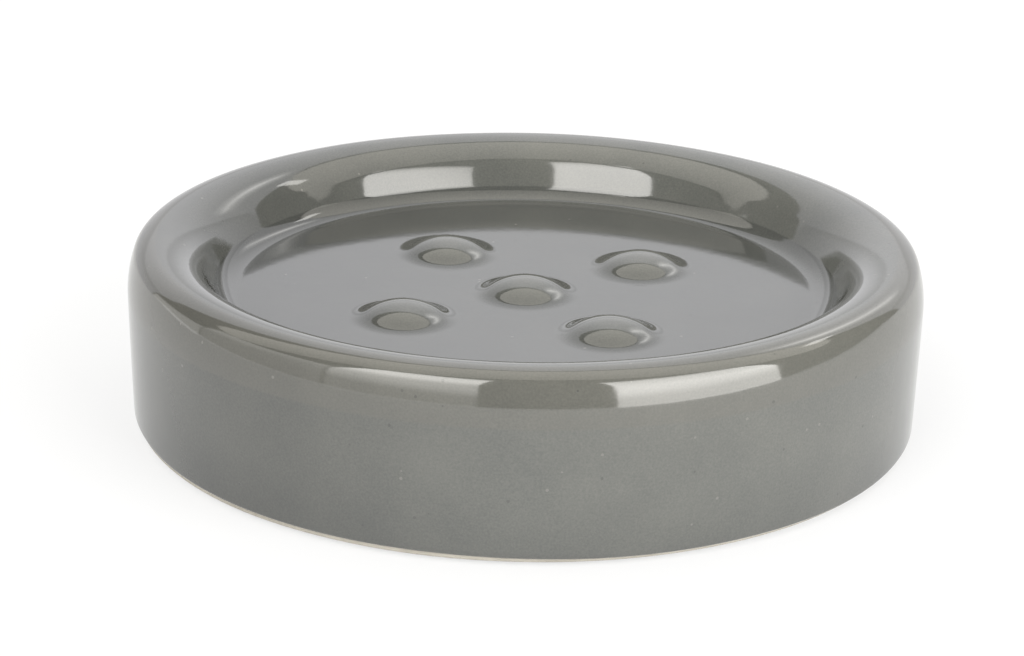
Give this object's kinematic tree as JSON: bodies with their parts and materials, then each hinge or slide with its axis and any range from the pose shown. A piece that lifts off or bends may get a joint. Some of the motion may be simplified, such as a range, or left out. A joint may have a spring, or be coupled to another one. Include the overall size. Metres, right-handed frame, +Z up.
{
  "type": "soap dish",
  "caption": "Round glazed stoneware soap dish with a thick rounded rim, a shallow well and low domed knobs that lift the soap clear of the water.",
  "frame": {"origin": "on the dish's axis, at the level of the surface that it stands on", "axes": "+Z up along the dish's axis; +X to the right and +Y away from the viewer, as in the picture"},
  "size_m": [0.11, 0.11, 0.025],
  "materials": {
    "clay": "bare fired stoneware, matt",
    "glaze": "glossy grey glaze",
    "underside_glaze": "glossy grey glaze",
    "pad": "soft matt"
  },
  "bodies": {
    "root": {"stoneware_body": "clay", "dish_glaze": "glaze", "underside_glaze": "underside_glaze", "pad_rear_right": "pad", "pad_rear_left": "pad", "pad_front_left": "pad", "pad_front_right": "pad"}
  },
  "joints": []
}
